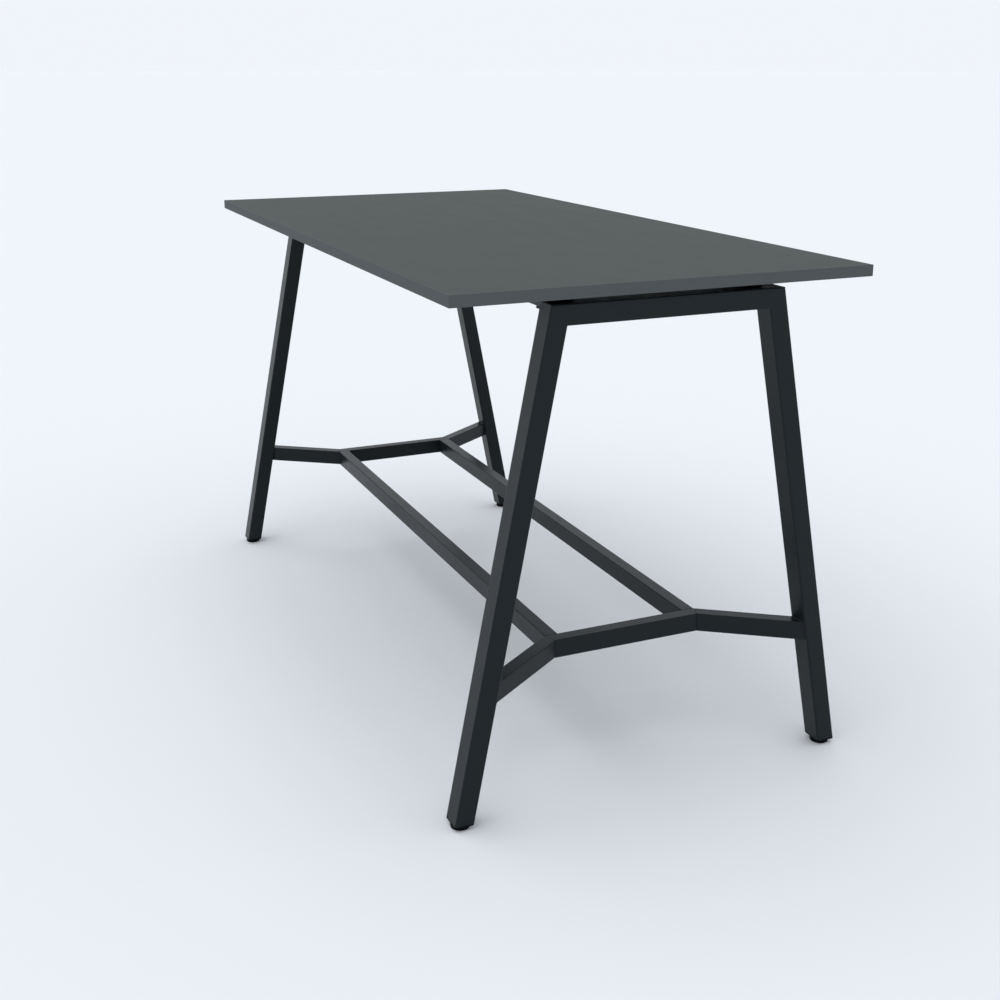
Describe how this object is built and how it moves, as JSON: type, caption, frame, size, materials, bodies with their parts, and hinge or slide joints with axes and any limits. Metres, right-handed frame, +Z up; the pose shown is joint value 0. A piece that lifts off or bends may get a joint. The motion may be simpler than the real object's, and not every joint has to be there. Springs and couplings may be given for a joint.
{
  "type": "standing meeting table",
  "caption": "Bar-height meeting table: a rectangular laminated top on splayed tube end frames, tied by a raised forked footrest, with screw-in levelling feet.",
  "frame": {"origin": "on the floor under the middle of the top", "axes": "+Z up, +Y along the length of the top, +X across it"},
  "size_m": [0.9, 1.8, 1.05],
  "materials": {
    "board_laminate": "matt grey laminate on both faces of a particle board",
    "edge_strip": "matt grey plastic edge strip",
    "powder_coat": "satin near-black powder coat on steel tube",
    "zinc": "bright zinc plate on steel",
    "pad_plastic": "black moulded plastic"
  },
  "bodies": {
    "table": {"tabletop_panel": "board_laminate", "edge_band_left": "edge_strip", "edge_band_right": "edge_strip", "edge_band_near": "edge_strip", "edge_band_far": "edge_strip", "leg_near_left": "powder_coat", "leg_near_right": "powder_coat", "leg_far_left": "powder_coat", "leg_far_right": "powder_coat", "top_tube_near": "powder_coat", "top_tube_far": "powder_coat", "top_rail_left": "powder_coat", "top_rail_right": "powder_coat", "top_screw_left_1": "zinc", "top_screw_left_2": "zinc", "top_screw_left_3": "zinc", "top_screw_left_4": "zinc", "top_screw_right_1": "zinc", "top_screw_right_2": "zinc", "top_screw_right_3": "zinc", "top_screw_right_4": "zinc", "rail_seat_near_left": "powder_coat", "rail_seat_near_right": "powder_coat", "rail_seat_far_left": "powder_coat", "rail_seat_far_right": "powder_coat", "seat_bolt_near_left": "zinc", "seat_bolt_near_right": "zinc", "seat_bolt_far_left": "zinc", "seat_bolt_far_right": "zinc", "footrest_cross_near": "powder_coat", "footrest_cross_far": "powder_coat", "footrest_stub_near_left": "powder_coat", "footrest_stub_near_right": "powder_coat", "footrest_stub_far_left": "powder_coat", "footrest_stub_far_right": "powder_coat", "footrest_rail_left": "powder_coat", "footrest_rail_right": "powder_coat", "rail_spigot_near_left": "powder_coat", "rail_spigot_near_right": "powder_coat", "rail_spigot_far_left": "powder_coat", "rail_spigot_far_right": "powder_coat", "footrest_bolt_near_left": "zinc", "footrest_bolt_near_right": "zinc", "footrest_bolt_far_left": "zinc", "footrest_bolt_far_right": "zinc", "leg_plug_near_left": "powder_coat", "leg_plug_near_right": "powder_coat", "leg_plug_far_left": "powder_coat", "leg_plug_far_right": "powder_coat"},
    "stem_near_left": {"foot_stem_near_left": "zinc"},
    "stem_near_right": {"foot_stem_near_right": "zinc"},
    "stem_far_left": {"foot_stem_far_left": "zinc"},
    "stem_far_right": {"foot_stem_far_right": "zinc"},
    "pad_near_left": {"foot_pad_near_left": "pad_plastic"},
    "pad_near_right": {"foot_pad_near_right": "pad_plastic"},
    "pad_far_left": {"foot_pad_far_left": "pad_plastic"},
    "pad_far_right": {"foot_pad_far_right": "pad_plastic"}
  },
  "joints": [
    {"name": "stem_near_left_travel", "type": "slide", "parent": "table", "child": "stem_near_left", "axis": [0, 0, -1], "range_m": [0, 0.012]},
    {"name": "stem_near_right_travel", "type": "slide", "parent": "table", "child": "stem_near_right", "axis": [0, 0, -1], "range_m": [0, 0.012]},
    {"name": "stem_far_left_travel", "type": "slide", "parent": "table", "child": "stem_far_left", "axis": [0, 0, -1], "range_m": [0, 0.012]},
    {"name": "stem_far_right_travel", "type": "slide", "parent": "table", "child": "stem_far_right", "axis": [0, 0, -1], "range_m": [0, 0.012]},
    {"name": "pad_near_left_turn", "type": "hinge", "parent": "stem_near_left", "child": "pad_near_left", "pos_m": [-0.42463, -0.867, 0], "axis": [0, 0, -1], "range_deg": [0, 2880]},
    {"name": "pad_near_right_turn", "type": "hinge", "parent": "stem_near_right", "child": "pad_near_right", "pos_m": [0.42463, -0.867, 0], "axis": [0, 0, -1], "range_deg": [0, 2880]},
    {"name": "pad_far_left_turn", "type": "hinge", "parent": "stem_far_left", "child": "pad_far_left", "pos_m": [-0.42463, 0.867, 0], "axis": [0, 0, -1], "range_deg": [0, 2880]},
    {"name": "pad_far_right_turn", "type": "hinge", "parent": "stem_far_right", "child": "pad_far_right", "pos_m": [0.42463, 0.867, 0], "axis": [0, 0, -1], "range_deg": [0, 2880]}
  ],
  "couplings": [
    {"joint": "stem_near_left_travel", "follows": "pad_near_left_turn", "m_per_rad": 0.00023873},
    {"joint": "stem_near_right_travel", "follows": "pad_near_right_turn", "m_per_rad": 0.00023873},
    {"joint": "stem_far_left_travel", "follows": "pad_far_left_turn", "m_per_rad": 0.00023873},
    {"joint": "stem_far_right_travel", "follows": "pad_far_right_turn", "m_per_rad": 0.00023873}
  ]
}
